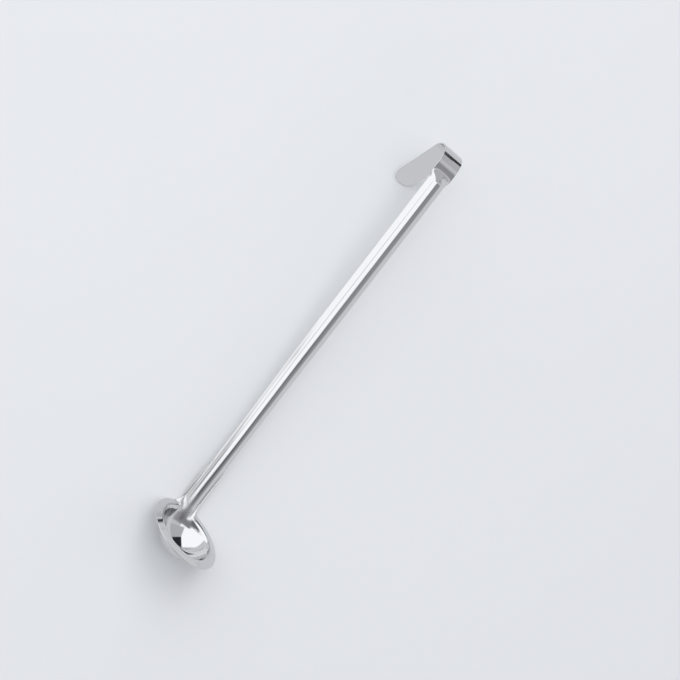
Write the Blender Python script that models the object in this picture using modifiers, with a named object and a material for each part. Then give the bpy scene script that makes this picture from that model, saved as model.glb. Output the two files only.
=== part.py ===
"""A one-piece pressed serving ladle, lying on its back: bowl with its neck, arched handle, flat hook."""

import bpy
import numpy as np
from mathutils import Matrix

MM = 0.001

# Sheet
SHEET = 1.0 * MM
SEAM_GAP = 0.3 * MM
SMALL_STEP = 0.01 * MM

# Bowl: a spherical dish whose wall turns out over a round shoulder into a drooping lip
DISH_RADIUS = 21.7 * MM
BOWL_DEPTH = 17.0 * MM
SHOULDER_RADIUS = 3.0 * MM
LIP_WIDTH = 5.0 * MM
LIP_DROOP = np.radians(13.0)

# Neck: the part of the wall and lip that sweeps up into the handle
NECK_HALF_ANGLE = np.radians(27.0)
NECK_START_BELOW_CREST = 5.0 * MM
NECK_TOP = 8.0 * MM
NECK_FOOT = 2.0 * MM
NECK_EDGE_SHARE = 0.72
FILLET_ALONG_RIM = 3.5 * MM
FILLET_ALONG_EDGE = 5.0 * MM

# Handle: an arched strip, crest to the front, measured along itself from the plane of the rim
HANDLE_LEAN = np.radians(28.9)
HANDLE_INSET = 2.2 * MM
HANDLE_LENGTH = 293.2 * MM
ARCH_HALF_ANGLE = np.radians(51.5)
FLAT_HALF_ANGLE = 0.01
WAIST_CHORD = 12.6 * MM
WAIST_AT = 45.0 * MM
TAPER_END = 165.0 * MM
HANDLE_BOW = 1.1 * MM
BOW_START = 130.0 * MM
RUNOUT_LENGTH = 9.0 * MM
STRAP_LENGTH = 2.5 * MM

# Flanges: the handle's edges, which turn out and forward beside the ridge as they near the bowl
FLANGE_WIDTH = 1.0 * MM
FLANGE_LIFT = 0.3 * MM
FLANGE_SLOPE = 0.4
VALLEY_SOFTNESS = 1.0 * MM
LEAST_SOFTNESS = 0.001 * MM

# Hook: the flat strap, eased back and then turned down into a round-ended tongue
HOOK_WIDTH = 17.0 * MM
EASE_RADIUS = 26.2 * MM
EASE_TURN = np.radians(14.9)
BEND_RADIUS = 10.1 * MM
BEND_TURN = np.radians(128.9)
TONGUE_LENGTH = 32.3 * MM

# Pose: the ladle lies on its back and tips until the bowl and the hook both touch the table
MOST_TILT = np.radians(30.0)
TILT_HALVINGS = 60

# Finish
BOWL_TINT, BOWL_ROUGHNESS = (0.66, 0.67, 0.69), 0.10
HANDLE_TINT, HANDLE_ROUGHNESS = (0.64, 0.65, 0.67), 0.08
HOOK_TINT, HOOK_ROUGHNESS = (0.62, 0.63, 0.65), 0.12

# Fineness of the surfaces
RIM_STEPS = 60
NECK_STEPS = 50
DISH_ROWS = 9
LIP_ROWS = 14
ARCH_STEPS = 24
ARCH_ROWS = 56
ROOT_CROWDING = 1.6
RUNOUT_ROWS = 12
HOOK_STEPS = 10
EASE_ROWS = 4
BEND_ROWS = 18
TONGUE_ROWS = 4
TIP_ROWS = 9

# Sizes that follow from those above
SHOULDER_REACH = DISH_RADIUS + SHOULDER_RADIUS
SHOULDER_ANGLE = np.arccos((SHOULDER_REACH - BOWL_DEPTH) / SHOULDER_REACH)
CREST_RADIUS = SHOULDER_REACH * np.sin(SHOULDER_ANGLE)
SHOULDER_Z = -SHOULDER_RADIUS * np.cos(LIP_DROOP)
RIM_RADIUS = CREST_RADIUS + LIP_WIDTH
LIP_SLANT = (LIP_WIDTH - SHOULDER_RADIUS * np.sin(LIP_DROOP)) / np.cos(LIP_DROOP)
LIP_DROP = LIP_SLANT * np.sin(LIP_DROOP)
SPHERE_Z = SHOULDER_Z + LIP_DROP + SHOULDER_REACH * np.cos(SHOULDER_ANGLE)
CREST_Z = SHOULDER_Z + LIP_DROP + SHOULDER_RADIUS
HANDLE_SETBACK = RIM_RADIUS - HANDLE_INSET
ARCH_TOP_CHORD = HOOK_WIDTH * np.sin(ARCH_HALF_ANGLE) / ARCH_HALF_ANGLE
RUNOUT_END = HANDLE_LENGTH - STRAP_LENGTH
RUNOUT_START = RUNOUT_END - RUNOUT_LENGTH


def smooth(t):
    """Eases from 0 to 1 as t goes from 0 to 1."""
    t = np.clip(t, 0.0, 1.0)
    return t * t * (3.0 - 2.0 * t)


def blend(a, b, t):
    """The mix of a and b, all of b at t = 1."""
    return a + (b - a) * t


def unit(v):
    """Vectors along the last axis, made one long."""
    return v / np.linalg.norm(v, axis=-1, keepdims=True)


def stack(*parts):
    """Coordinates joined into points, each part spread to the shape of the widest."""
    return np.stack(np.broadcast_arrays(*parts), axis=-1)


# Bowl meridian, by distance along it from the bottom of the dish
DISH_ARC = DISH_RADIUS * SHOULDER_ANGLE
SHOULDER_ARC = SHOULDER_RADIUS * (SHOULDER_ANGLE + LIP_DROOP)
MERIDIAN = DISH_ARC + SHOULDER_ARC + LIP_SLANT


def meridian(s):
    """Radius and height of the front face at distance s from the bottom: dish, then shoulder, then lip."""
    dish = np.minimum(s, DISH_ARC) / DISH_RADIUS
    r = DISH_RADIUS * np.sin(dish)
    z = SPHERE_Z - DISH_RADIUS * np.cos(dish)
    over = np.clip(s - DISH_ARC, 0.0, SHOULDER_ARC) / SHOULDER_RADIUS
    slope = SHOULDER_ANGLE - over
    r = r + SHOULDER_RADIUS * (np.sin(SHOULDER_ANGLE) - np.sin(slope))
    z = z + SHOULDER_RADIUS * (np.cos(slope) - np.cos(SHOULDER_ANGLE))
    along = np.clip(s - DISH_ARC - SHOULDER_ARC, 0.0, None)
    return r + along * np.cos(LIP_DROOP), z - along * np.sin(LIP_DROOP)


def turned(radius, height, azimuth):
    """Points at a radius and height, turned from the back of the bowl by an azimuth."""
    return stack(radius * np.sin(azimuth), radius * np.cos(azimuth), height)


def from_handle(across, forward, along):
    """Points given across, forward of and along the handle, in the frame of the bowl."""
    back = HANDLE_SETBACK + along * np.sin(HANDLE_LEAN) - forward * np.cos(HANDLE_LEAN)
    return stack(across, back, along * np.cos(HANDLE_LEAN) + forward * np.sin(HANDLE_LEAN))


def strip(u, d):
    """The front face of the handle at u from -1 to 1 across it, d along it."""
    to_root = smooth((WAIST_AT - d) / (WAIST_AT - NECK_TOP))
    to_top = smooth((d - WAIST_AT) / (TAPER_END - WAIST_AT))
    flat = smooth((d - RUNOUT_START) / RUNOUT_LENGTH)
    angle = blend(ARCH_HALF_ANGLE, FLAT_HALF_ANGLE, flat)
    chord = blend(WAIST_CHORD, ARCH_TOP_CHORD, to_top)
    chord = blend(chord, HOOK_WIDTH * np.sin(angle) / angle, smooth((d - TAPER_END) / RUNOUT_LENGTH))
    radius = chord / 2.0 / np.sin(angle)
    half = chord / 2.0 + FLANGE_WIDTH * to_root
    across = half * np.sin(u * angle) / np.sin(angle)
    arch = np.sqrt(np.maximum(radius**2 - across**2, 0.0)) - radius * np.cos(angle)
    flange = FLANGE_LIFT * to_root - FLANGE_SLOPE * (half - np.abs(across))
    softness = VALLEY_SOFTNESS * to_root + LEAST_SOFTNESS
    valley = np.maximum(softness - np.abs(arch - flange), 0.0) ** 2 / (4.0 * softness)
    bow = HANDLE_BOW * smooth((BOW_START - d) / (BOW_START - WAIST_AT))
    return from_handle(across, bow + np.maximum(arch, flange) + valley, d)


def root_line(u):
    """How far along itself the handle begins: low over the ridge, higher at the flanges' edges."""
    return blend(NECK_FOOT, NECK_TOP, smooth(np.abs(u)))


def strip_way(u, d):
    """The direction in which the handle's front face climbs."""
    return unit(strip(u, d + SMALL_STEP) - strip(u, d))


def hermite(start, start_way, end, end_way, t):
    """Curves from start to end that leave and arrive along the given directions."""
    reach = np.linalg.norm(end - start, axis=-1, keepdims=True)
    t = t[:, None, None]
    leave = t * (1.0 - t) ** 2 * reach * start_way
    arrive = t * t * (1.0 - t) * reach * end_way
    rise = t * t * (3.0 - 2.0 * t)
    return start * (1.0 - rise) + end * rise + leave - arrive


def fillet(v):
    """The free edge from the handle's root (v = 0) down and out to the rim (v = 1)."""
    root = strip(1.0, NECK_TOP)
    root_pull = root - FILLET_ALONG_EDGE * strip_way(1.0, NECK_TOP)
    rim = turned(RIM_RADIUS, 0.0, NECK_HALF_ANGLE)
    rim_way = np.array([-np.cos(NECK_HALF_ANGLE), np.sin(NECK_HALF_ANGLE), 0.0])
    rim_pull = rim + FILLET_ALONG_RIM * rim_way
    v = v[:, None]
    w = 1.0 - v
    return w**3 * root + 3.0 * w * w * v * root_pull + 3.0 * w * v * v * rim_pull + v**3 * rim


def neck_ends(u):
    """Where each meridian of the neck ends, and the direction in which it gets there."""
    side = np.abs(u) / NECK_EDGE_SHARE
    on_strip = np.clip(np.sign(u) * side, -1.0, 1.0)
    root = root_line(on_strip)
    ends = strip(on_strip, root)
    ways = strip_way(on_strip, root)
    v = np.clip((np.abs(u) - NECK_EDGE_SHARE) / (1.0 - NECK_EDGE_SHARE), 0.0, 1.0)
    mirror = stack(np.where(u < 0.0, -1.0, 1.0), 1.0, 1.0)
    outside = (np.abs(u) > NECK_EDGE_SHARE)[:, None]
    ends = np.where(outside, fillet(v) * mirror, ends)
    azimuth = u * NECK_HALF_ANGLE
    lip_way = turned(np.cos(LIP_DROOP), -np.sin(LIP_DROOP), azimuth)
    return ends, unit(blend(ways, lip_way, smooth(v)[:, None]))


def neck_meridians(u, s, start_at):
    """The rows of the neck: each meridian leaves the wall and ends on the handle, the fillet or the rim."""
    azimuth = u * NECK_HALF_ANGLE
    start_r, start_z = meridian(start_at)
    lean = start_at / DISH_RADIUS
    start = turned(start_r, start_z, azimuth)
    start_way = turned(np.cos(lean), np.sin(lean), azimuth)
    end, end_way = neck_ends(u)
    t = (s - start_at) / (MERIDIAN - start_at)
    rows = hermite(start, start_way, end, end_way, t)
    # The outermost meridians follow the lip itself, and those inside them less and less
    lip_r, lip_z = meridian(s)
    side = rows[:, -1]
    short_r = lip_r - np.hypot(side[:, 0], side[:, 1])
    short_z = lip_z - side[:, 2]
    share = smooth((np.abs(u) - NECK_EDGE_SHARE / 2.0) / (1.0 - NECK_EDGE_SHARE / 2.0))
    return rows + share[:, None] * turned(short_r[:, None], short_z[:, None], azimuth)


def bowl_surface():
    """Points and faces of the bowl's front face, with the neck up to where the handle begins."""
    start_at = DISH_RADIUS * np.arccos((SPHERE_Z - CREST_Z + NECK_START_BELOW_CREST) / DISH_RADIUS)
    dish_s = start_at * np.arange(1, DISH_ROWS + 1) / DISH_ROWS
    lip_s = blend(start_at, MERIDIAN, np.arange(1, LIP_ROWS + 1) / LIP_ROWS)
    u = np.linspace(-1.0, 1.0, NECK_STEPS + 1)
    sweep = 2.0 * (np.pi - NECK_HALF_ANGLE)
    rest = NECK_HALF_ANGLE + sweep * np.arange(1, RIM_STEPS) / RIM_STEPS
    azimuth = np.concatenate([u * NECK_HALF_ANGLE, rest])
    dish_r, dish_z = meridian(dish_s)
    dish = turned(dish_r[:, None], dish_z[:, None], azimuth)
    lip_r, lip_z = meridian(lip_s)
    lip = turned(lip_r[:, None], lip_z[:, None], rest)
    upper = np.concatenate([neck_meridians(u, lip_s, start_at), lip], axis=1)
    rings = np.concatenate([dish, upper])
    faces = grid_faces(len(rings), len(azimuth), closed=True)
    bottom = np.array([[0.0, 0.0, SPHERE_Z - DISH_RADIUS]])
    pole = rings.shape[0] * rings.shape[1]
    first = np.arange(len(azimuth))
    fan = [(pole, int(b), int(a)) for a, b in zip(first, np.roll(first, -1))]
    return np.concatenate([rings.reshape(-1, 3), bottom]), faces + fan


def grid_faces(rows, columns, closed=False):
    """Quads of a grid of points, counted row by row."""
    j = np.arange(columns if closed else columns - 1)
    k = (j + 1) % columns
    i = np.arange(rows - 1)[:, None] * columns
    quads = np.stack([i + j, i + k, i + columns + k, i + columns + j], axis=-1)
    return [tuple(map(int, quad)) for quad in quads.reshape(-1, 4)]


def handle_surface():
    """Points and faces of the handle's front face, from the neck to the flat strap."""
    u = np.linspace(-1.0, 1.0, ARCH_STEPS + 1)
    share = (np.arange(ARCH_ROWS) / ARCH_ROWS)[:, None]
    arch = blend(root_line(u) + SEAM_GAP, RUNOUT_START, share**ROOT_CROWDING)
    runout = np.linspace(RUNOUT_START, RUNOUT_END, RUNOUT_ROWS)
    d = np.concatenate([arch, stack(*[runout] * len(u))])
    return strip(u, d).reshape(-1, 3), grid_faces(len(d), len(u))


def hook_path(s):
    """Forward and along positions of the strap at distance s from its start, bending to the back."""
    straight = STRAP_LENGTH
    ease = EASE_RADIUS * EASE_TURN
    bend = BEND_RADIUS * BEND_TURN
    a = np.clip(s - straight, 0.0, ease) / EASE_RADIUS
    b = np.clip(s - straight - ease, 0.0, bend) / BEND_RADIUS
    rest = np.clip(s - straight - ease - bend, 0.0, None)
    along = RUNOUT_END + np.minimum(s, straight) + EASE_RADIUS * np.sin(a)
    back = EASE_RADIUS * (1.0 - np.cos(a))
    along = along + BEND_RADIUS * (np.sin(a + b) - np.sin(a))
    back = back + BEND_RADIUS * (np.cos(a) - np.cos(a + b))
    return -back - rest * np.sin(a + b), along + rest * np.cos(a + b)


def hook_surface():
    """Points and faces of the hook's front face, ending in a full round."""
    ease_at = STRAP_LENGTH
    bend_at = ease_at + EASE_RADIUS * EASE_TURN
    tongue_at = bend_at + BEND_RADIUS * BEND_TURN
    tip_at = tongue_at + TONGUE_LENGTH
    round_end = np.pi / 2.0 * np.arange(1, TIP_ROWS + 1) / (TIP_ROWS + 1)
    half = HOOK_WIDTH / 2.0
    legs = [
        np.array([SEAM_GAP]),
        np.linspace(ease_at, bend_at, EASE_ROWS, endpoint=False),
        np.linspace(bend_at, tongue_at, BEND_ROWS, endpoint=False),
        np.linspace(tongue_at, tip_at, TONGUE_ROWS),
        tip_at + half * np.sin(round_end),
    ]
    s = np.concatenate(legs)
    width = np.full(len(s), half)
    width[-TIP_ROWS:] = half * np.cos(round_end)
    forward, along = hook_path(s)
    u = np.linspace(-1.0, 1.0, HOOK_STEPS + 1)
    points = from_handle(u * width[:, None], forward[:, None], along[:, None])
    return points.reshape(-1, 3), grid_faces(len(s), len(u))


def clear_scene():
    """Removes whatever the scene held."""
    for obj in list(bpy.data.objects):
        bpy.data.objects.remove(obj)


def polished_steel(name, tint, roughness):
    """A polished stainless finish."""
    material = bpy.data.materials.new(name)
    material.use_nodes = True
    shader = material.node_tree.nodes["Principled BSDF"]
    shader.inputs["Base Color"].default_value = (*tint, 1.0)
    shader.inputs["Metallic"].default_value = 1.0
    shader.inputs["Roughness"].default_value = roughness
    return material


def sheet_part(name, surface, material, collection, pose):
    """A piece of sheet with the given front face, its thickness behind it."""
    points, faces = surface
    mesh = bpy.data.meshes.new(name)
    mesh.from_pydata(points.tolist(), [], faces)
    mesh.materials.append(material)
    mesh.shade_smooth()
    obj = bpy.data.objects.new(name, mesh)
    collection.objects.link(obj)
    obj.parent = pose
    thickness = obj.modifiers.new("sheet", "SOLIDIFY")
    thickness.thickness = SHEET
    thickness.offset = -1.0
    thickness.use_quality_normals = True
    return obj


def solid_points(obj):
    """The corners of a finished piece, in the frame of the bowl."""
    mesh = obj.evaluated_get(bpy.context.evaluated_depsgraph_get()).data
    flat = np.empty(3 * len(mesh.vertices))
    mesh.vertices.foreach_get("co", flat)
    return flat.reshape(-1, 3)


def lying(tilt):
    """The turn that lays the ladle on its back, hook towards -X, with the handle tilted up by an angle."""
    lean = HANDLE_LEAN
    laid = np.array([[0.0, -np.sin(lean), -np.cos(lean)], [1.0, 0.0, 0.0], [0.0, -np.cos(lean), np.sin(lean)]])
    turn = np.array([[np.cos(tilt), 0.0, np.sin(tilt)], [0.0, 1.0, 0.0], [-np.sin(tilt), 0.0, np.cos(tilt)]])
    return turn @ laid


def resting_tilt(bowl, hook):
    """The tilt at which the bowl and the hook touch the table together."""
    low, high = -MOST_TILT, MOST_TILT
    for _ in range(TILT_HALVINGS):
        middle = (low + high) / 2.0
        turn = lying(middle)[2]
        if (bowl @ turn).min() > (hook @ turn).min():
            low = middle
        else:
            high = middle
    return (low + high) / 2.0


def main():
    clear_scene()
    collection = bpy.data.collections.new("serving_ladle")
    bpy.context.scene.collection.children.link(collection)
    pose = bpy.data.objects.new("resting_pose", None)
    collection.objects.link(pose)
    bowl_steel = polished_steel("bowl_steel", BOWL_TINT, BOWL_ROUGHNESS)
    handle_steel = polished_steel("handle_steel", HANDLE_TINT, HANDLE_ROUGHNESS)
    hook_steel = polished_steel("hook_steel", HOOK_TINT, HOOK_ROUGHNESS)
    bowl = sheet_part("bowl", bowl_surface(), bowl_steel, collection, pose)
    handle = sheet_part("handle", handle_surface(), handle_steel, collection, pose)
    hook = sheet_part("hook", hook_surface(), hook_steel, collection, pose)
    bpy.context.view_layer.update()
    bowl_at, handle_at, hook_at = (solid_points(obj) for obj in (bowl, handle, hook))
    turn = lying(resting_tilt(bowl_at, hook_at))
    placed = np.concatenate([bowl_at, handle_at, hook_at]) @ turn.T
    low, high = placed.min(axis=0), placed.max(axis=0)
    matrix = np.eye(4)
    matrix[:3, :3] = turn
    matrix[:3, 3] = -(low + high) / 2.0
    matrix[2, 3] = -low[2]
    pose.matrix_world = Matrix(matrix.tolist())


main()
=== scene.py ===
"""A pressed stainless serving ladle, lying on its back on a pale table in a light tent."""

import logging
import math
from dataclasses import dataclass, field
from enum import Enum
from typing import Any

import bpy
import numpy as np
from mathutils import Euler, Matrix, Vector


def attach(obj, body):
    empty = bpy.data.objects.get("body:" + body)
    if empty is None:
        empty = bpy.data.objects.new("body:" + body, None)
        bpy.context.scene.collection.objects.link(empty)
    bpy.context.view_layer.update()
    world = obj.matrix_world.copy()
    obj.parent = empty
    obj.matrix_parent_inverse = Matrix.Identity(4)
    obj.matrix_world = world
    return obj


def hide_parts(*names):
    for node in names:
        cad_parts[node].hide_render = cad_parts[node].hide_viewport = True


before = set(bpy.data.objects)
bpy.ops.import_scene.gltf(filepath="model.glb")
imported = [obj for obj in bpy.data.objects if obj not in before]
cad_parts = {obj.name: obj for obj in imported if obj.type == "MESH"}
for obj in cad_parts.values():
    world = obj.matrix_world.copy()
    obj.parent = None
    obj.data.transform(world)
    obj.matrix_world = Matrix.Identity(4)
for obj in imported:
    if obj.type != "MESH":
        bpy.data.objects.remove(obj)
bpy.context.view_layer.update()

LOG = logging.getLogger("ladle")
MM = 0.001
BLACK = (0.0, 0.0, 0.0, 1.0)
# Middle of the range that a noise texture gives.
NOISE_MIDDLE = 0.5
# Degrees from the picture's own axes to those across and along the handle.
ALONG_HANDLE = -37.7
# Degrees from the camera's direction to the one straight away from it.
BEHIND = 180.0
# Name of the layer that holds the tent's colours.
TENT_COLOURS = "light"

Colour = tuple[float, float, float]
Place = tuple[float, float, float]
Pair = tuple[float, float]


def ease(t: np.ndarray | float) -> np.ndarray:
    """Smooth step: 3t^2 - 2t^3 with t held between 0 and 1."""
    t = np.clip(t, 0.0, 1.0)
    return t * t * (3.0 - 2.0 * t)


def mix(a: Any, b: Any, t: Any) -> Any:
    """Straight mix of a and b, all of b at t = 1."""
    return a + (b - a) * t


def unit(v: np.ndarray) -> np.ndarray:
    """Vectors along the last axis divided by their length."""
    return v / np.linalg.norm(v, axis=-1, keepdims=True)


def points(*parts: Any) -> np.ndarray:
    """Coordinates spread to one shape and joined along a last axis."""
    return np.stack(np.broadcast_arrays(*parts), axis=-1)


def quads(grid: np.ndarray) -> np.ndarray:
    """Quads between the rows and columns of a grid of point numbers."""
    return np.stack([grid[:-1, :-1], grid[:-1, 1:], grid[1:, 1:], grid[1:, :-1]], axis=-1).reshape(-1, 4)


def placed(name: str, data: bpy.types.ID) -> bpy.types.Object:
    """A new object at the origin, linked to the scene.

    Args:
        name: Its name.
        data: Its mesh, lamp or camera.

    Returns:
        The object.
    """
    obj = bpy.data.objects.new(name, data)
    bpy.context.scene.collection.objects.link(obj)
    return obj


def empty_tree(owner: bpy.types.Material | bpy.types.World) -> bpy.types.NodeTree:
    """The owner's node tree, switched on and emptied.

    Args:
        owner: A material or a world.

    Returns:
        The tree.
    """
    owner.use_nodes = True
    owner.node_tree.nodes.clear()
    return owner.node_tree


@dataclass(frozen=True)
class BowlSize:
    """Sizes of the dish, its shoulder and its lip, in metres and radians."""

    dish_radius: float = 21.7 * MM
    depth: float = 17.0 * MM
    shoulder_radius: float = 3.0 * MM
    lip_width: float = 5.0 * MM
    lip_droop: float = math.radians(13.0)

    @property
    def reach(self) -> float:
        """Distance from the dish's centre to the centre of the shoulder's round."""
        return self.dish_radius + self.shoulder_radius

    @property
    def shoulder_angle(self) -> float:
        """Slope of the wall where the shoulder takes over from the dish."""
        return math.acos((self.reach - self.depth) / self.reach)

    @property
    def lip_slant(self) -> float:
        """Length of the lip's straight part."""
        return (self.lip_width - self.shoulder_radius * math.sin(self.lip_droop)) / math.cos(self.lip_droop)

    @property
    def shoulder_z(self) -> float:
        """Height of the shoulder round's centre above the outer edge."""
        lift = self.lip_slant * math.sin(self.lip_droop)
        return lift - self.shoulder_radius * math.cos(self.lip_droop)

    @property
    def dish_z(self) -> float:
        """Height of the dish's centre above the outer edge."""
        return self.shoulder_z + self.reach * math.cos(self.shoulder_angle)

    @property
    def crest_z(self) -> float:
        """Height of the shoulder's crest above the outer edge."""
        return self.shoulder_z + self.shoulder_radius

    @property
    def rim_radius(self) -> float:
        """Radius of the lip's outer edge."""
        return self.reach * math.sin(self.shoulder_angle) + self.lip_width

    @property
    def dish_arc(self) -> float:
        """Length of the meridian in the dish."""
        return self.dish_radius * self.shoulder_angle

    @property
    def shoulder_arc(self) -> float:
        """Length of the meridian over the shoulder."""
        return self.shoulder_radius * (self.shoulder_angle + self.lip_droop)

    @property
    def meridian(self) -> float:
        """Length of the whole meridian, bottom to outer edge."""
        return self.dish_arc + self.shoulder_arc + self.lip_slant


@dataclass(frozen=True)
class NeckSize:
    """Sizes of the neck, where wall and lip sweep up into the handle."""

    half_angle: float = math.radians(27.0)
    start_below_crest: float = 5.0 * MM
    top: float = 8.0 * MM
    foot: float = 2.0 * MM
    edge_share: float = 0.72
    pull_on_rim: float = 3.5 * MM
    pull_on_edge: float = 5.0 * MM


@dataclass(frozen=True)
class HandleSize:
    """Sizes of the arched strip, measured along itself from the plane of the rim."""

    lean: float = math.radians(28.9)
    inset: float = 2.2 * MM
    length: float = 293.2 * MM
    arch_half_angle: float = math.radians(51.5)
    flat_angle: float = 0.01
    flange_width: float = 1.0 * MM
    flange_lift: float = 0.3 * MM
    flange_slope: float = 0.4
    valley: float = 1.0 * MM
    least_valley: float = 0.001 * MM
    waist_chord: float = 12.6 * MM
    waist_at: float = 45.0 * MM
    taper_end: float = 165.0 * MM
    bow: float = 1.1 * MM
    bow_start: float = 130.0 * MM
    runout: float = 9.0 * MM
    strap: float = 2.5 * MM

    @property
    def runout_end(self) -> float:
        """Where the arch has run out into the flat strap."""
        return self.length - self.strap


@dataclass(frozen=True)
class HookSize:
    """Sizes of the flat strap that eases back, bends over and ends in a round tongue."""

    width: float = 17.0 * MM
    ease_radius: float = 26.2 * MM
    ease_turn: float = math.radians(14.9)
    bend_radius: float = 10.1 * MM
    bend_turn: float = math.radians(128.9)
    tongue: float = 32.3 * MM


@dataclass(frozen=True)
class Fineness:
    """How many steps each surface is cut into, and how they are spread."""

    fillet: int = 14
    strip: int = 40
    rim: int = 210
    dish: int = 30
    lip: int = 44
    handle: int = 230
    runout: int = 24
    ease: int = 14
    bend: int = 60
    tongue: int = 10
    tip: int = 28
    edge: int = 6
    handle_crowding: float = 1.3
    tip_gap: float = 0.4


@dataclass(frozen=True)
class RestingPose:
    """How the ladle lies: on its back, hook towards -X, handle tilted up, its box centred on the origin."""

    tilt: float = math.radians(8.99211)
    shift: Place = (0.15171817, 0.0, 0.02075764)

    def turn(self, lean: float) -> np.ndarray:
        """Rotation from the bowl's frame to the table's.

        Args:
            lean: The handle's lean from the rim's axis.

        Returns:
            A 3 by 3 matrix: the handle's axis goes to -X, its front to +Z, then both tip by the tilt about Y.
        """
        s, c = math.sin(lean), math.cos(lean)
        laid = np.array([[0.0, -s, -c], [1.0, 0.0, 0.0], [0.0, -c, s]])
        s, c = math.sin(self.tilt), math.cos(self.tilt)
        return np.array([[c, 0.0, s], [0.0, 1.0, 0.0], [-s, 0.0, c]]) @ laid


@dataclass(frozen=True)
class LadleForm:
    """The front face of the whole sheet, as formulas in the bowl's frame: X across, Y to the back, Z up."""

    bowl: BowlSize = BowlSize()
    neck: NeckSize = NeckSize()
    handle: HandleSize = HandleSize()
    hook: HookSize = HookSize()
    small_step: float = 0.01 * MM

    def meridian(self, s: np.ndarray) -> tuple[np.ndarray, np.ndarray]:
        """Radius and height along the bowl's meridian.

        The dish's circle arc, then the shoulder's, which turns the other way, then the lip's straight line.

        Args:
            s: Distances from the bottom of the dish.

        Returns:
            Radii and heights.
        """
        b = self.bowl
        turn = np.minimum(s, b.dish_arc) / b.dish_radius
        slope = b.shoulder_angle - np.clip(s - b.dish_arc, 0.0, b.shoulder_arc) / b.shoulder_radius
        along = np.clip(s - b.dish_arc - b.shoulder_arc, 0.0, None)
        over_r = b.shoulder_radius * (math.sin(b.shoulder_angle) - np.sin(slope))
        over_z = b.shoulder_radius * (np.cos(slope) - math.cos(b.shoulder_angle))
        r = b.dish_radius * np.sin(turn) + over_r + along * math.cos(b.lip_droop)
        z = b.dish_z - b.dish_radius * np.cos(turn) + over_z - along * math.sin(b.lip_droop)
        return r, z

    @staticmethod
    def turned(r: Any, z: Any, azimuth: Any) -> np.ndarray:
        """Points at radius r and height z, turned by an azimuth from the back of the bowl."""
        return points(r * np.sin(azimuth), r * np.cos(azimuth), z)

    def from_handle(self, across: Any, forward: Any, along: Any) -> np.ndarray:
        """Points of the handle's own frame, turned by its lean and set back to where it stands.

        Args:
            across: Distances across the handle.
            forward: Distances forward of its axis.
            along: Distances along it from the plane of the rim.

        Returns:
            Points in the bowl's frame.
        """
        s, c = math.sin(self.handle.lean), math.cos(self.handle.lean)
        setback = self.bowl.rim_radius - self.handle.inset
        return points(across, setback + along * s - forward * c, along * c + forward * s)

    def strip(self, u: np.ndarray | float, d: np.ndarray | float) -> np.ndarray:
        """The handle's front face: a circle arc across, whose chord, angle and place ease along the handle.

        Towards the neck a sloping flange lies on either side of the arc. The higher of the two shows, with
        a rounded valley between them.

        Args:
            u: Place across, -1 to 1.
            d: Place along.

        Returns:
            Points.
        """
        h = self.handle
        to_root = ease((h.waist_at - d) / (h.waist_at - self.neck.top))
        to_top = ease((d - h.waist_at) / (h.taper_end - h.waist_at))
        flat = ease((d - h.runout_end + h.runout) / h.runout)
        angle = mix(h.arch_half_angle, h.flat_angle, flat)
        top_chord = self.hook.width * math.sin(h.arch_half_angle) / h.arch_half_angle
        chord = mix(h.waist_chord, top_chord, to_top)
        unrolled = self.hook.width * np.sin(angle) / angle
        chord = mix(chord, unrolled, ease((d - h.taper_end) / h.runout))
        radius = chord / 2.0 / np.sin(angle)
        half = chord / 2.0 + h.flange_width * to_root
        across = half * np.sin(u * angle) / np.sin(angle)
        arch = np.sqrt(np.maximum(radius**2 - across**2, 0.0)) - radius * np.cos(angle)
        flange = h.flange_lift * to_root - h.flange_slope * (half - np.abs(across))
        soft = h.valley * to_root + h.least_valley
        valley = np.maximum(soft - np.abs(arch - flange), 0.0) ** 2 / (4.0 * soft)
        bow = h.bow * ease((h.bow_start - d) / (h.bow_start - h.waist_at))
        return self.from_handle(across, bow + np.maximum(arch, flange) + valley, d)

    def root_line(self, u: np.ndarray | float) -> np.ndarray:
        """How far along the handle it begins: low over the ridge, higher at the flanges' edges."""
        n = self.neck
        return mix(n.foot, n.top, ease(np.abs(u)))

    def strip_way(self, u: np.ndarray | float, d: np.ndarray | float) -> np.ndarray:
        """Direction in which the handle's front face climbs, by a small step along it."""
        return unit(self.strip(u, d + self.small_step) - self.strip(u, d))

    def fillet(self, v: np.ndarray) -> np.ndarray:
        """The free edge from the handle's root out to the rim, a cubic Bezier curve.

        Args:
            v: Place along it, 0 at the root and 1 at the rim.

        Returns:
            Points.
        """
        n = self.neck
        root = self.strip(1.0, n.top)
        root_pull = root - n.pull_on_edge * self.strip_way(1.0, n.top)
        rim = self.turned(self.bowl.rim_radius, 0.0, n.half_angle)
        rim_pull = rim + n.pull_on_rim * np.array([-math.cos(n.half_angle), math.sin(n.half_angle), 0.0])
        v = v[:, None]
        w = 1.0 - v
        return w**3 * root + 3.0 * w * w * v * root_pull + 3.0 * w * v * v * rim_pull + v**3 * rim

    def neck_ends(self, u: np.ndarray) -> tuple[np.ndarray, np.ndarray]:
        """Where each meridian of the neck ends and how it gets there: on the handle, the fillet or the rim.

        Args:
            u: Place across the neck, -1 to 1.

        Returns:
            End points, and unit directions in which the meridians arrive.
        """
        n = self.neck
        on_strip = np.clip(u / n.edge_share, -1.0, 1.0)
        v = np.clip((np.abs(u) - n.edge_share) / (1.0 - n.edge_share), 0.0, 1.0)
        mirror = points(np.where(u < 0.0, -1.0, 1.0), 1.0, 1.0)
        outside = (np.abs(u) > n.edge_share)[:, None]
        root = self.root_line(on_strip)
        ends = np.where(outside, self.fillet(v) * mirror, self.strip(on_strip, root))
        lip_way = self.turned(math.cos(self.bowl.lip_droop), -math.sin(self.bowl.lip_droop), u * n.half_angle)
        return ends, unit(mix(self.strip_way(on_strip, root), lip_way, ease(v)[:, None]))

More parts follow.
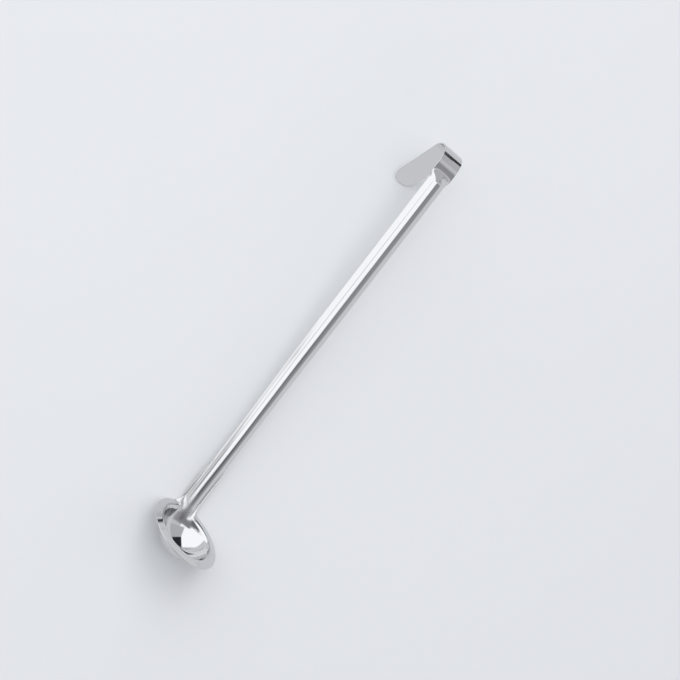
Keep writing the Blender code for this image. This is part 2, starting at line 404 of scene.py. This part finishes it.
    def neck_rows(self, u: np.ndarray, s: np.ndarray, start_at: float) -> np.ndarray:
        """The neck: Hermite curves from the wall to the handle, eased into the lip's own shape at the sides.

        Args:
            u: Place across the neck, -1 to 1.
            s: Distances along the meridian, past start_at.
            start_at: Distance at which the curves leave the wall.

        Returns:
            Points, one row for each s.
        """
        n, azimuth = self.neck, u * self.neck.half_angle
        start_r, start_z = self.meridian(np.array(start_at))
        slope = start_at / self.bowl.dish_radius
        start = self.turned(start_r, start_z, azimuth)
        leave = self.turned(math.cos(slope), math.sin(slope), azimuth)
        end, arrive = self.neck_ends(u)
        reach = np.linalg.norm(end - start, axis=-1, keepdims=True)
        t = ((s - start_at) / (self.bowl.meridian - start_at))[:, None, None]
        rise = t * t * (3.0 - 2.0 * t)
        rows = mix(start, end, rise) + t * (1.0 - t) ** 2 * reach * leave - t * t * (1.0 - t) * reach * arrive
        lip_r, lip_z = self.meridian(s)
        short_r = lip_r - np.hypot(rows[:, -1, 0], rows[:, -1, 1])
        short_z = lip_z - rows[:, -1, 2]
        share = ease((np.abs(u) - n.edge_share / 2.0) / (1.0 - n.edge_share / 2.0))
        return rows + share[:, None] * self.turned(short_r[:, None], short_z[:, None], azimuth)

    def bowl_rings(self, u: np.ndarray, rest: np.ndarray, fine: Fineness) -> np.ndarray:
        """Rings of the bowl from the bottom to the free edge: turned meridians, and the neck's where u runs.

        Args:
            u: Place across the neck.
            rest: Azimuths of the other meridians.
            fine: Step counts.

        Returns:
            Points, ring by ring.
        """
        b = self.bowl
        below_centre = b.dish_z - b.crest_z + self.neck.start_below_crest
        start_at = b.dish_radius * math.acos(below_centre / b.dish_radius)
        dish_s = start_at * np.arange(1, fine.dish + 1) / fine.dish
        lip_s = mix(start_at, b.meridian, np.arange(1, fine.lip + 1) / fine.lip)
        azimuth = np.concatenate([u * self.neck.half_angle, rest])
        dish_r, dish_z = self.meridian(dish_s)
        lip_r, lip_z = self.meridian(lip_s)
        dish = self.turned(dish_r[:, None], dish_z[:, None], azimuth)
        lip = self.turned(lip_r[:, None], lip_z[:, None], rest)
        return np.concatenate([dish, np.concatenate([self.neck_rows(u, lip_s, start_at), lip], axis=1)])

    def hook_rows(self, u: np.ndarray, fine: Fineness) -> np.ndarray:
        """Rows of the hook: a strap along a line, two arcs and a line, whose width ends as a half circle.

        Args:
            u: Place across, -1 to 1.
            fine: Step counts.

        Returns:
            Points, row by row, without the first row, which is the handle's last.
        """
        k, start = self.hook, self.handle.strap
        arcs = np.array([k.ease_radius * k.ease_turn, k.bend_radius * k.bend_turn, k.tongue])
        marks = start + np.concatenate([[0.0], np.cumsum(arcs)])
        tip = np.pi / 2.0 * np.arange(1, fine.tip + 1) / (fine.tip + fine.tip_gap)
        legs = [
            np.array([start / 2.0, start]),
            mix(marks[0], marks[1], np.arange(1, fine.ease + 1) / fine.ease),
            mix(marks[1], marks[2], np.arange(1, fine.bend + 1) / fine.bend),
            mix(marks[2], marks[3], np.arange(1, fine.tongue + 1) / fine.tongue),
            marks[3] + k.width / 2.0 * np.sin(tip),
        ]
        s = np.concatenate(legs)
        half = np.full(len(s), k.width / 2.0)
        half[-fine.tip :] = k.width / 2.0 * np.cos(tip)
        a = np.clip(s - marks[0], 0.0, arcs[0]) / k.ease_radius
        b = np.clip(s - marks[1], 0.0, arcs[1]) / k.bend_radius
        straight = np.clip(s - marks[2], 0.0, None)
        back = k.ease_radius * (1.0 - np.cos(a)) + k.bend_radius * (np.cos(a) - np.cos(a + b))
        along = k.ease_radius * np.sin(a) + k.bend_radius * (np.sin(a + b) - np.sin(a))
        along = along + self.handle.runout_end + np.minimum(s, start) + straight * np.cos(a + b)
        back = back + straight * np.sin(a + b)
        return self.from_handle(u * half[:, None], -back[:, None], along[:, None])


class Piece(Enum):
    """The pieces that the sheet is split into, each named for the CAD node that it stands for."""

    BOWL = "bowl"
    HANDLE = "handle"
    HOOK = "hook"


@dataclass
class LadleSheet:
    """The whole sheet as one set of points, with its thickness and rounded edge.

    It is cut into pieces that share their edge points, so that they meet exactly.
    """

    form: LadleForm = LadleForm()
    fine: Fineness = Fineness()
    pose: RestingPose = RestingPose()
    sheet: float = 1.0 * MM
    edge_roundness: float = 0.5
    rings: int = field(init=False)
    columns: int = field(init=False)
    handle_rows: int = field(init=False)
    front_count: int = field(init=False)
    left_at: int = field(init=False)
    grid: np.ndarray = field(init=False)
    top_row: np.ndarray = field(init=False)
    place: np.ndarray = field(init=False)
    normal: np.ndarray = field(init=False)
    front: dict[Piece, list[np.ndarray]] = field(init=False)
    faces: dict[Piece, list[np.ndarray]] = field(init=False)

    def __post_init__(self) -> None:
        """Lays out the points and faces."""
        self.faces = {piece: [] for piece in Piece}
        front, self.grid, self.top_row = self.front_points()
        self.front_count = len(front)
        self.front_faces()
        normal = self.normals(front)
        loop = self.free_loop()
        edge, edge_normal = self.rounded_edge(front, normal, loop)
        self.edge_faces(loop)
        self.caps(loop)
        place = np.concatenate([front, front - self.sheet * normal, edge])
        turn = self.pose.turn(self.form.handle.lean)
        self.place = place @ turn.T + np.array(self.pose.shift)
        self.normal = np.concatenate([normal, -normal, edge_normal]) @ turn.T

    def front_points(self) -> tuple[np.ndarray, np.ndarray, np.ndarray]:
        """Points of the front face.

        Returns:
            The points, the point numbers of the strip row by row, and those of the bowl's last ring.
        """
        fine, share = self.fine, self.form.neck.edge_share
        side = np.linspace(share, 1.0, fine.fillet + 1)[1:]
        u = np.concatenate([-side[::-1], np.linspace(-share, share, fine.strip + 1), side])
        span = 2.0 * (np.pi - self.form.neck.half_angle)
        rest = self.form.neck.half_angle + span * np.arange(1, fine.rim) / fine.rim
        rings = self.form.bowl_rings(u, rest, fine)
        self.rings, self.columns = rings.shape[:2]
        bottom = np.array([[0.0, 0.0, self.form.bowl.dish_z - self.form.bowl.dish_radius]])
        across = np.linspace(-1.0, 1.0, fine.strip + 1)
        h = self.form.handle
        steps = (np.arange(1, fine.handle + 1)[:, None] / fine.handle) ** fine.handle_crowding
        lower = mix(self.form.root_line(across), h.runout_end - h.runout, steps)
        upper = mix(h.runout_end - h.runout, h.runout_end, np.arange(1, fine.runout + 1) / fine.runout)
        upper = np.broadcast_to(upper[:, None], (fine.runout, fine.strip + 1))
        handle = self.form.strip(across, np.concatenate([lower, upper]))
        hook = self.form.hook_rows(across, fine)
        self.handle_rows = len(handle)
        strip = np.concatenate([handle, hook])
        front = np.concatenate([rings.reshape(-1, 3), bottom, strip.reshape(-1, 3)])
        top_row = (self.rings - 1) * self.columns + np.arange(self.columns)
        first = top_row[fine.fillet : fine.fillet + fine.strip + 1]
        rows = self.rings * self.columns + 1 + np.arange(strip.shape[0] * strip.shape[1])
        return front, np.concatenate([first[None], rows.reshape(strip.shape[:2])]), top_row

    def front_faces(self) -> None:
        """Faces of the front and, turned round, of the back."""
        ring = np.arange(self.rings * self.columns).reshape(self.rings, self.columns)
        closed = np.concatenate([ring, ring[:, :1]], axis=1)
        pole = np.full(self.columns, self.rings * self.columns)
        fan = np.stack([pole, closed[0, 1:], closed[0, :-1]], axis=-1)
        top = self.handle_rows
        self.front = {
            Piece.BOWL: [quads(closed), fan],
            Piece.HANDLE: [quads(self.grid[: top + 1])],
            Piece.HOOK: [quads(self.grid[top:])],
        }
        for piece, groups in self.front.items():
            for group in groups:
                self.faces[piece] += [group, group[:, ::-1] + self.front_count]

    def normals(self, front: np.ndarray) -> np.ndarray:
        """Unit normals of the front's points: the sum of the area vectors of the faces round each.

        A face's area vector is the cross product of its diagonals, or of two sides where it has three.

        Args:
            front: Points of the front face.

        Returns:
            One unit vector for each point.
        """
        total = np.zeros_like(front)
        for group in (g for groups in self.front.values() for g in groups):
            corner = front[group]
            area = np.cross(corner[:, 2] - corner[:, 0], corner[:, -1] - corner[:, 1])
            for k in range(group.shape[1]):
                np.add.at(total, group[:, k], area)
        return unit(total)

    def free_loop(self) -> np.ndarray:
        """Point numbers round the free edge.

        Returns:
            Those of the right fillet, rim, left fillet, left side, tip and right side, in turn.
        """
        fine = self.fine
        right = self.top_row[fine.fillet + fine.strip :]
        left = self.top_row[: fine.fillet + 1]
        self.left_at = len(right) + fine.fillet
        loop = [right, left, self.grid[1:, 0], self.grid[-1, 1:], self.grid[-2:0:-1, -1]]
        return np.concatenate(loop)

    def rounded_edge(
        self, front: np.ndarray, normal: np.ndarray, loop: np.ndarray
    ) -> tuple[np.ndarray, np.ndarray]:
        """Points between the front's and the back's edge, on a half ellipse that bulges outwards.

        Args:
            front: Points of the front face.
            normal: Their unit normals.
            loop: Point numbers round the free edge.

        Returns:
            The points and their unit normals, row by row from the front.
        """
        at, up = front[loop], normal[loop]
        way = unit(np.roll(at, -1, axis=0) - np.roll(at, 1, axis=0))
        out = unit(np.cross(up, way))
        angle = (np.pi * np.arange(1, self.fine.edge) / self.fine.edge)[:, None, None]
        half = self.sheet / 2.0
        bulge = np.cos(angle) * up + self.edge_roundness * np.sin(angle) * out
        facing = unit(self.edge_roundness * np.cos(angle) * up + np.sin(angle) * out)
        return (at - half * up + half * bulge).reshape(-1, 3), facing.reshape(-1, 3)

    def edge_rows(self, loop: np.ndarray) -> np.ndarray:
        """Point numbers of the edge.

        Args:
            loop: Point numbers round the free edge.

        Returns:
            Rows from the front's edge over the rounding to the back's.
        """
        count = len(loop)
        between = 2 * self.front_count + np.arange((self.fine.edge - 1) * count).reshape(-1, count)
        return np.concatenate([loop[None], between, loop[None] + self.front_count])

    def edge_faces(self, loop: np.ndarray) -> None:
        """Faces of the edge, shared out among the pieces.

        Args:
            loop: Point numbers round the free edge.
        """
        rows = self.edge_rows(loop)
        closed = np.concatenate([rows, rows[:, :1]], axis=1)
        side = self.handle_rows
        end = len(loop) - side
        spans = {
            Piece.BOWL: [(0, self.left_at)],
            Piece.HANDLE: [(self.left_at, self.left_at + side), (end, len(loop))],
            Piece.HOOK: [(self.left_at + side, end)],
        }
        for piece, parts in spans.items():
            self.faces[piece] += [quads(closed[:, a : b + 1]) for a, b in parts]

    def caps(self, loop: np.ndarray) -> None:
        """Flat ends where two pieces meet, the same face seen from either side.

        Args:
            loop: Point numbers round the free edge.
        """
        rows = self.edge_rows(loop)
        side = self.handle_rows
        seams = (
            (0, self.left_at, 0, Piece.BOWL, Piece.HANDLE),
            (side, self.left_at + side, len(loop) - side, Piece.HANDLE, Piece.HOOK),
        )
        for row, left, right, below, above in seams:
            across = self.grid[row]
            down, up = rows[1:-1, right], rows[1:-1, left][::-1]
            cap = np.concatenate([across, down, across[::-1] + self.front_count, up])
            self.faces[below].append(cap[None])
            self.faces[above].append(cap[None, ::-1])

    def neck_place(self) -> Place:
        """Where the ridge runs into the bowl.

        Returns:
            The place, as the ladle lies on the table.
        """
        foot = self.form.strip(0.0, self.form.neck.foot).ravel()
        turn = self.pose.turn(self.form.handle.lean)
        return tuple((turn @ foot + np.array(self.pose.shift)).tolist())

    def build(self, piece: Piece) -> bpy.types.Object:
        """One closed piece as an object at the origin.

        Args:
            piece: Which piece.

        Returns:
            The object, shaded by the sheet's own normals.
        """
        used = np.unique(np.concatenate([group.ravel() for group in self.faces[piece]]))
        number = np.zeros(len(self.place), dtype=np.int64)
        number[used] = np.arange(len(used))
        faces = [face for group in self.faces[piece] for face in number[group].tolist()]
        mesh = bpy.data.meshes.new(f"{piece.value}_sheet")
        mesh.from_pydata(self.place[used].tolist(), [], faces)
        mesh.shade_smooth()
        mesh.normals_split_custom_set_from_vertices(self.normal[used].tolist())
        mesh.update()
        return placed(mesh.name, mesh)


@dataclass
class Shade:
    """A socket in a node tree; maths on it adds nodes."""

    tree: bpy.types.NodeTree
    socket: bpy.types.NodeSocket | None

    @classmethod
    def node(
        cls,
        tree: bpy.types.NodeTree,
        kind: str,
        settings: dict[str, Any] | None = None,
        out: int | str = 0,
        **sockets: Any,
    ) -> "Shade":
        """Any node.

        Args:
            tree: The tree to add it to.
            kind: The node's type.
            settings: Its own settings by name, set first.
            out: The output to hand back, by number or name.
            **sockets: Values or links of its inputs, by name with _ for a space, or by number as i0 or i1.

        Returns:
            The output.
        """
        made = tree.nodes.new(kind)
        for name, value in (settings or {}).items():
            setattr(made, name, value)
        for name, value in sockets.items():
            numbered = name[0] == "i" and name[1:].isdigit()
            target = made.inputs[int(name[1:]) if numbered else name.replace("_", " ")]
            if isinstance(value, Shade):
                tree.links.new(value.socket, target)
            else:
                target.default_value = value
        return cls(tree, made.outputs[out] if made.outputs else None)

    def maths(self, operation: str, a: Any, b: Any) -> "Shade":
        """A Math node on two values, in this socket's tree."""
        return Shade.node(self.tree, "ShaderNodeMath", {"operation": operation}, i0=a, i1=b)

    def __add__(self, other: Any) -> "Shade":
        """Sum."""
        return self.maths("ADD", self, other)

    __radd__ = __add__

    def __mul__(self, other: Any) -> "Shade":
        """Product."""
        return self.maths("MULTIPLY", self, other)

    __rmul__ = __mul__

    def __sub__(self, other: Any) -> "Shade":
        """Difference."""
        return self.maths("SUBTRACT", self, other)

    def __rsub__(self, other: Any) -> "Shade":
        """Difference the other way round."""
        return self.maths("SUBTRACT", other, self)

    def noise(self, scale: float, detail: float, roughness: float) -> "Shade":
        """Noise at this place."""
        return Shade.node(
            self.tree, "ShaderNodeTexNoise", Vector=self, Scale=scale, Detail=detail, Roughness=roughness
        )

    def tint(self, low: tuple[float, ...], high: tuple[float, ...]) -> "Shade":
        """A colour between low and high, by this value."""
        return Shade.node(
            self.tree, "ShaderNodeMix", {"data_type": "RGBA"}, out=2, i0=self, i6=(*low, 1.0), i7=(*high, 1.0)
        )


@dataclass(frozen=True)
class PolishedSteel:
    """Mirror polished stainless steel with faint polishing lines, smears and wear."""

    name: str
    tint: Colour = (0.67, 0.672, 0.682)
    drift_low: float = 0.96
    drift_scale: float = 9.0
    roughness: float = 0.07
    smear: float = 0.05
    smear_scale: float = 42.0
    line_smear: float = 0.025
    line_scale: tuple[float, float, float] = (18.0, 900.0, 900.0)
    line_height: float = 0.02 * MM
    line_strength: float = 0.04
    drawn_dullness: float = 0.24
    drawn_reach: float = 15.0 * MM

    def material(self, drawn_at: Place) -> bpy.types.Material:
        """The finish as a material.

        Args:
            drawn_at: Middle of the neck, where the sheet was drawn most and took less polish.

        Returns:
            Metal whose roughness varies with soft smears and the drawn patch, whose colour drifts a little
            and whose normal carries polishing lines.
        """
        made = bpy.data.materials.new(self.name)
        tree = empty_tree(made)
        place = Shade.node(tree, "ShaderNodeTexCoord", out="Object")
        smears = place.noise(self.smear_scale, detail=5.0, roughness=0.6)
        drift = place.noise(self.drift_scale, detail=2.0, roughness=0.5)
        stretched = Shade.node(tree, "ShaderNodeMapping", Vector=place, Scale=self.line_scale)
        lines = stretched.noise(1.0, detail=6.0, roughness=0.7)
        away = Shade.node(
            tree, "ShaderNodeVectorMath", {"operation": "DISTANCE"}, out="Value", i0=place, i1=drawn_at
        )
        drawn = away.maths("MINIMUM", away * (1.0 / self.drawn_reach), 1.0)
        rough = self.roughness + self.smear * (smears - NOISE_MIDDLE)
        rough = rough + self.line_smear * (lines - NOISE_MIDDLE)
        rough = rough + self.drawn_dullness * (1.0 - drawn)
        low = tuple(self.drift_low * c for c in self.tint)
        bump = Shade.node(
            tree, "ShaderNodeBump", Strength=self.line_strength, Distance=self.line_height, Height=lines
        )
        steel = Shade.node(
            tree,
            "ShaderNodeBsdfPrincipled",
            Base_Color=drift.tint(low, self.tint),
            Metallic=1.0,
            Roughness=rough,
            Normal=bump,
        )
        Shade.node(tree, "ShaderNodeOutputMaterial", Surface=steel)
        return made


@dataclass(frozen=True)
class PaleTable:
    """The matt pale table that the ladle lies on."""

    name: str = "pale_table"
    low: Colour = (0.80, 0.82, 0.845)
    high: Colour = (0.83, 0.85, 0.87)
    mottle_scale: float = 3.0
    half: float = 25.0
    height: float = -0.3 * MM

    def material(self) -> bpy.types.Material:
        """A matt finish with the faintest mottling.

        Returns:
            The material.
        """
        made = bpy.data.materials.new(self.name)
        tree = empty_tree(made)
        place = Shade.node(tree, "ShaderNodeTexCoord", out="Object")
        mottle = place.noise(self.mottle_scale, detail=3.0, roughness=0.5)
        matt = Shade.node(
            tree,
            "ShaderNodeBsdfPrincipled",
            Base_Color=mottle.tint(self.low, self.high),
            Roughness=1.0,
            Specular_IOR_Level=0.0,
        )
        Shade.node(tree, "ShaderNodeOutputMaterial", Surface=matt)
        return made

    def build(self) -> bpy.types.Object:
        """The table's top as one square.

        Returns:
            Its object.
        """
        mesh = bpy.data.meshes.new(self.name)
        h, z = self.half, self.height
        mesh.from_pydata([(-h, -h, z), (h, -h, z), (h, h, z), (-h, h, z)], [], [(0, 1, 2, 3)])
        mesh.materials.append(self.material())
        return placed(self.name, mesh)


def within(value: np.ndarray, low: float, high: float, soft: float) -> np.ndarray:
    """1 between low and high, 0 outside, easing over soft on either side."""
    return ease((value - low) / soft + 0.5) * ease((high - value) / soft + 0.5)


def glow_material(name: str, colour: Colour | None = None) -> bpy.types.Material:
    """A face that only glows, and isn't sampled as a lamp.

    Args:
        name: The material's name.
        colour: An even colour, or none for the colours that the mesh carries.

    Returns:
        The material.
    """
    made = bpy.data.materials.new(name)
    made.cycles.emission_sampling = "NONE"
    tree = empty_tree(made)
    if colour is None:
        seen = Shade.node(tree, "ShaderNodeAttribute", {"attribute_name": TENT_COLOURS})
    else:
        seen = (*colour, 1.0)
    glow = Shade.node(
        tree,
        "ShaderNodeBsdfPrincipled",
        Base_Color=BLACK,
        Specular_IOR_Level=0.0,
        Emission_Color=seen,
        Emission_Strength=1.0,
    )
    Shade.node(tree, "ShaderNodeOutputMaterial", Surface=glow)
    return made


@dataclass(frozen=True)
class Card:
    """A lit or dark card of the tent: a turned rectangle, in degrees from the camera's direction."""

    name: str
    across: Pair
    up: Pair
    light: Colour
    soft: Pair
    turn: float = 0.0

    def share(self, right: np.ndarray, up: np.ndarray) -> np.ndarray:
        """How much of the card is seen in each direction.

        Args:
            right: Degrees to the right of the camera's direction.
            up: Degrees above it.

        Returns:
            Shares from 0 to 1.
        """
        s, c = math.sin(math.radians(self.turn)), math.cos(math.radians(self.turn))
        a, b = right * c + up * s, up * c - right * s
        return within(a, *self.across, self.soft[0]) * within(b, *self.up, self.soft[1])


@dataclass(frozen=True)
class LightTent:
    """The studio round the table: a wide cap about the camera's direction, with lit and dark cards."""

    name: str = "light_tent"
    radius: float = 20.0
    rings: int = 190
    columns: int = 240
    reach: float = 140.0
    base: Colour = (0.55, 0.555, 0.57)
    cards: tuple[Card, ...] = (
        Card("side_glow", (30.0, 200.0), (-120.0, 31.0), (0.75, 0.75, 0.78), (10.0, 4.0)),
        Card("far_side", (10.0, 92.0), (-60.0, 14.0), (0.36, 0.36, 0.375), (50.0, 8.0), ALONG_HANDLE),
        Card("dark_side", (38.0, 64.0), (-60.0, 2.2), (0.17, 0.17, 0.18), (14.0, 5.0), ALONG_HANDLE),
        Card("low_glow", (-60.0, 40.0), (-140.0, -60.0), (0.82, 0.82, 0.85), (20.0, 20.0)),
        Card("glow_left", (-120.0, -27.0), (-60.0, 4.0), (1.20, 1.20, 1.22), (5.0, 3.0), ALONG_HANDLE),
        Card("strip_left", (-20.0, -6.0), (-60.0, 1.0), (0.92, 0.92, 0.93), (4.0, 3.0), ALONG_HANDLE),
        Card("camera_dark", (-22.0, 36.0), (-30.0, -4.0), (0.20, 0.20, 0.21), (4.0, 2.0), ALONG_HANDLE),
        Card("strip_right", (9.5, 34.0), (-4.0, 1.5), (1.35, 1.36, 1.38), (2.0, 1.0), ALONG_HANDLE),
        Card("soft_box", (-75.0, 43.0), (1.1, 130.0), (1.40, 1.41, 1.43), (2.0, 0.8), -40.2),
        Card("side_over", (28.9, 120.0), (8.0, 110.0), (0.60, 0.60, 0.62), (3.0, 6.0), -21.2),
        Card("back_wall", (-200.0, 43.0), (75.0, 200.0), (0.60, 0.60, 0.62), (6.0, 8.0)),
        Card("slit", (4.5, 8.5), (1.0, 7.0), (0.60, 0.60, 0.61), (1.6, 3.0), ALONG_HANDLE),
        Card("dark_room", (43.0, 100.0), (32.0, 100.0), (0.03, 0.03, 0.04), (2.0, 2.0)),
    )
    table: Colour = (0.80, 0.81, 0.83)
    table_from: float = 90.0
    table_soft: float = 3.0

    def light(self, right: np.ndarray, up: np.ndarray) -> np.ndarray:
        """Colours of the tent by direction: the base, each card laid over those before it, then the table.

        Args:
            right: Degrees to the right of the camera's direction.
            up: Degrees above it.

        Returns:
            Colours along a last axis.
        """
        total = np.broadcast_to(np.array(self.base), (*right.shape, 3))
        for card in self.cards:
            total = mix(total, np.array(card.light), card.share(right, up)[..., None])
        low = within(np.hypot(right, up), self.table_from, BEHIND, self.table_soft)
        return mix(total, np.array(self.table), low[..., None])

    def build(self, view: np.ndarray) -> bpy.types.Object:
        """The tent.

        Args:
            view: The camera's right, up and back directions as columns.

        Returns:
            Its object, unseen by the camera.
        """
        polar = np.radians(self.reach) * np.arange(self.rings + 1)[:, None] / self.rings
        around = 2.0 * np.pi * np.arange(self.columns) / self.columns
        place = points(np.sin(polar) * np.cos(around), np.sin(polar) * np.sin(around), np.cos(polar))
        colour = self.light(np.degrees(polar) * np.cos(around), np.degrees(polar) * np.sin(around))
        grid = np.arange(place.shape[0] * place.shape[1]).reshape(place.shape[:2])
        faces = quads(np.concatenate([grid, grid[:, :1]], axis=1))
        mesh = bpy.data.meshes.new(self.name)
        mesh.from_pydata((self.radius * place @ view.T).reshape(-1, 3).tolist(), [], faces.tolist())
        layer = mesh.attributes.new(TENT_COLOURS, "FLOAT_COLOR", "POINT")
        layer.data.foreach_set("color", points(*np.moveaxis(colour, -1, 0), 1.0).ravel())
        mesh.materials.append(glow_material(self.name))
        obj = placed(self.name, mesh)
        obj.visible_camera = False
        return obj


@dataclass(frozen=True)
class Board:
    """A plain board held near the ladle, which only the polish sees.

    It is a rectangle in degrees, as seen from a point of the ladle, about a direction that is counted from
    the camera's. The first of its half sizes goes along its lean, the second across it.
    """

    name: str
    seen_from: Place
    distance: float
    toward: Pair
    lean: Pair
    half: Pair
    glow: Colour

    def build(self, view: np.ndarray) -> bpy.types.Object:
        """The board, each corner at the same distance in its own direction.

        Args:
            view: The camera's right, up and back directions as columns.

        Returns:
            Its object, unseen by the camera and the table, without a shadow.
        """
        along = self.half[0] * np.array([-1.0, 1.0, 1.0, -1.0])
        aside = self.half[1] * np.array([-1.0, -1.0, 1.0, 1.0])
        right = self.toward[0] + along * self.lean[0] - aside * self.lean[1]
        up = self.toward[1] + along * self.lean[1] + aside * self.lean[0]
        away = np.hypot(right, up)
        out = np.sin(np.radians(away)) / away
        corners = points(out * right, out * up, np.cos(np.radians(away))) @ view.T
        mesh = bpy.data.meshes.new(self.name)
        mesh.from_pydata((np.array(self.seen_from) + self.distance * corners).tolist(), [], [(0, 1, 2, 3)])
        mesh.materials.append(glow_material(self.name, self.glow))
        obj = placed(self.name, mesh)
        obj.visible_camera = obj.visible_diffuse = obj.visible_shadow = False
        return obj


@dataclass(frozen=True)
class SoftLamp:
    """A wide soft lamp that lights the table and stays out of the polish."""

    name: str
    toward: Place
    width: float
    watts: float
    colour: Colour
    distance: float = 2.4

    def build(self, view: np.ndarray) -> None:
        """The lamp, turned to the ladle.

        Args:
            view: The camera's right, up and back directions as columns.
        """
        data = bpy.data.lights.new(self.name, "AREA")
        data.shape = "DISK"
        data.size, data.energy, data.color = self.width, self.watts, self.colour
        obj = placed(self.name, data)
        place = Vector(unit(view @ np.array(self.toward)).tolist())
        obj.location = self.distance * place
        obj.rotation_euler = place.to_track_quat("Z", "Y").to_euler()
        obj.visible_glossy = False


@dataclass(frozen=True)
class Studio:
    """Table, light tent, boards, lamps, backdrop and camera."""

    eye: Place = (0.35213960, -1.07973322, 1.93788265)
    gaze: tuple[float, float, float] = (-10.0529341, -29.6390172, 128.4204800)
    lens: float = 171.67565
    sensor: float = 36.0
    farthest: float = 100.0
    surround: Colour = (0.27, 0.275, 0.29)
    backdrop: Colour = (0.76, 0.78, 0.81)
    tent: LightTent = LightTent()
    table: PaleTable = PaleTable()
    boards: tuple[Board, ...] = (
        Board(
            name="black_flag",
            seen_from=(-0.165, 0.0, 0.030),
            distance=0.45,
            toward=(81.0, 18.0),
            lean=(0.49, 0.87),
            half=(15.0, 4.0),
            glow=(0.015, 0.015, 0.02),
        ),
        Board(
            name="pale_chip",
            seen_from=(-0.149, -0.0005, 0.0459),
            distance=0.040,
            toward=(79.5, 17.0),
            lean=(0.49, 0.87),
            half=(11.0, 7.0),
            glow=(0.62, 0.62, 0.63),
        ),
        Board(
            name="grey_veil",
            seen_from=(0.145, 0.0065, 0.0037),
            distance=0.075,
            toward=(24.65, -17.2),
            lean=(0.6115, 0.791),
            half=(8.5, 19.0),
            glow=(0.30, 0.30, 0.31),
        ),
    )
    lamps: tuple[SoftLamp, ...] = (
        SoftLamp("key_lamp", (0.50, 0.42, 0.76), 1.5, 8.5, (1.0, 0.97, 0.93)),
        SoftLamp("fill_lamp", (-0.10, 0.35, 0.93), 2.6, 9.0, (0.97, 0.99, 1.0)),
    )

    def camera(self) -> None:
        """The camera, where the photograph's stood."""
        data = bpy.data.cameras.new("camera")
        data.lens = self.lens
        data.sensor_width = self.sensor
        data.clip_end = self.farthest
        obj = placed("camera", data)
        obj.location = self.eye
        obj.rotation_euler = [math.radians(a) for a in self.gaze]
        bpy.context.scene.camera = obj

    def world(self) -> None:
        """Even surrounding light, which the camera sees as a pale backdrop."""
        made = bpy.data.worlds.new("studio")
        tree = empty_tree(made)
        seen = Shade.node(tree, "ShaderNodeLightPath", out="Is Camera Ray")
        glow = Shade.node(tree, "ShaderNodeBackground", Color=seen.tint(self.surround, self.backdrop))
        Shade.node(tree, "ShaderNodeOutputWorld", Surface=glow)
        bpy.context.scene.world = made

    def build(self) -> None:
        """Sets it all up."""
        view = np.array(Euler([math.radians(a) for a in self.gaze]).to_matrix())
        self.table.build()
        self.tent.build(view)
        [board.build(view) for board in self.boards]
        for lamp in self.lamps:
            lamp.build(view)
        self.world()
        self.camera()
        bpy.context.scene.view_settings.view_transform = "Standard"


@dataclass
class Ladle:
    """The dressed ladle."""

    sheet: LadleSheet = field(default_factory=LadleSheet)
    steels: dict[Piece, PolishedSteel] = field(
        default_factory=lambda: {
            Piece.BOWL: PolishedSteel("bowl_polish", roughness=0.08, line_scale=(300.0, 300.0, 300.0)),
            Piece.HANDLE: PolishedSteel("handle_polish"),
            Piece.HOOK: PolishedSteel("hook_polish", roughness=0.11),
        }
    )

    def build(self) -> None:
        """Makes each piece, dresses it and puts it in its node's place."""
        for piece, steel in self.steels.items():
            obj = self.sheet.build(piece)
            obj.data.materials.append(steel.material(self.sheet.neck_place()))
            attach(obj, "root")
            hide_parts(piece.value)
            LOG.info("piece %s: %d faces", obj.name, len(obj.data.polygons))


def main() -> None:
    """Builds the ladle and the studio, and logs each piece's face count."""
    logging.basicConfig(level=logging.INFO, format="%(message)s")
    ladle = Ladle()
    ladle.build()
    Studio().build()


if __name__ == "__main__":
    main()
